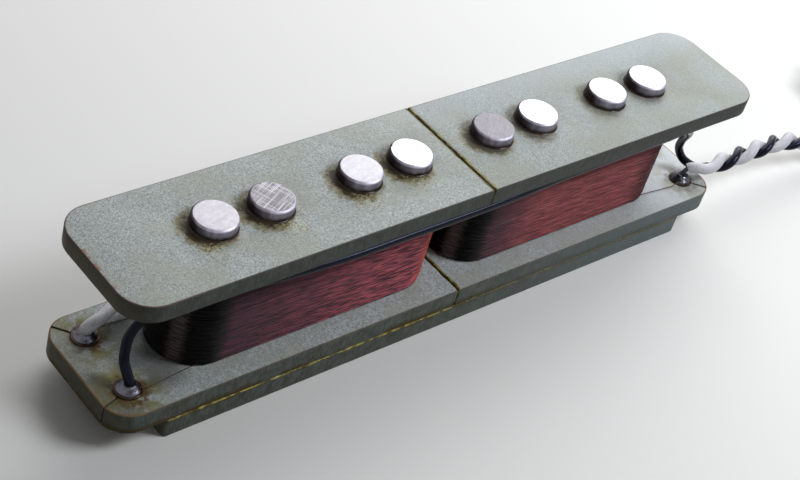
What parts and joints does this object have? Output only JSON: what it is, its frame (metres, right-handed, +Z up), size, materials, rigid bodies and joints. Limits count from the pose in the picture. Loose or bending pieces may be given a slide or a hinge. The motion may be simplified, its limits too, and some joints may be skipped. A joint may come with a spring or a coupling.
{
  "type": "guitar pickup",
  "caption": "Uncovered in-line bass pickup: rod magnets in grey fibre flatwork, red enamelled coils, soldered eyelets, and a twisted white and black lead tied in a hank.",
  "frame": {"origin": "middle of the base plate's underside", "axes": "+X along the row of magnets towards the end where the output leads leave, +Y across it to the back, +Z up through the magnets"},
  "size_m": [0.1786, 0.0181, 0.0214],
  "materials": {
    "fibre": "matt, faintly fibrous, grey-green",
    "magnet": "ground bright ends",
    "winding": "glossy dark red enamel",
    "eyelet": "tinned",
    "solder": "bright, slightly frosted",
    "white_insulation": "soft gloss",
    "black_insulation": "soft gloss",
    "tie": "matt black"
  },
  "bodies": {
    "root": {"top_flatwork_left": "fibre", "top_flatwork_right": "fibre", "bottom_flatwork_left": "fibre", "bottom_flatwork_right": "fibre", "base_plate": "fibre", "rod_magnet_1": "magnet", "rod_magnet_2": "magnet", "rod_magnet_3": "magnet", "rod_magnet_4": "magnet", "rod_magnet_5": "magnet", "rod_magnet_6": "magnet", "rod_magnet_7": "magnet", "rod_magnet_8": "magnet", "coil_core_left": "winding", "coil_core_right": "winding", "coil_turns_left": "winding", "coil_turns_right": "winding", "eyelet_left_front": "eyelet", "eyelet_left_back": "eyelet", "eyelet_right_front": "eyelet", "eyelet_right_back": "eyelet", "solder_left_front": "solder", "solder_left_back": "solder", "solder_right_front": "solder", "solder_right_back": "solder", "coil_wire_left_front": "winding", "coil_wire_left_back": "winding", "coil_wire_right_front": "winding", "coil_wire_right_back": "winding", "link_lead": "white_insulation", "black_lead": "black_insulation", "white_lead": "white_insulation", "output_pair_run": "white_insulation", "output_pair_hank": "white_insulation", "hank_tie": "tie", "white_lead_tip": "solder", "black_lead_tip": "solder"}
  },
  "joints": []
}
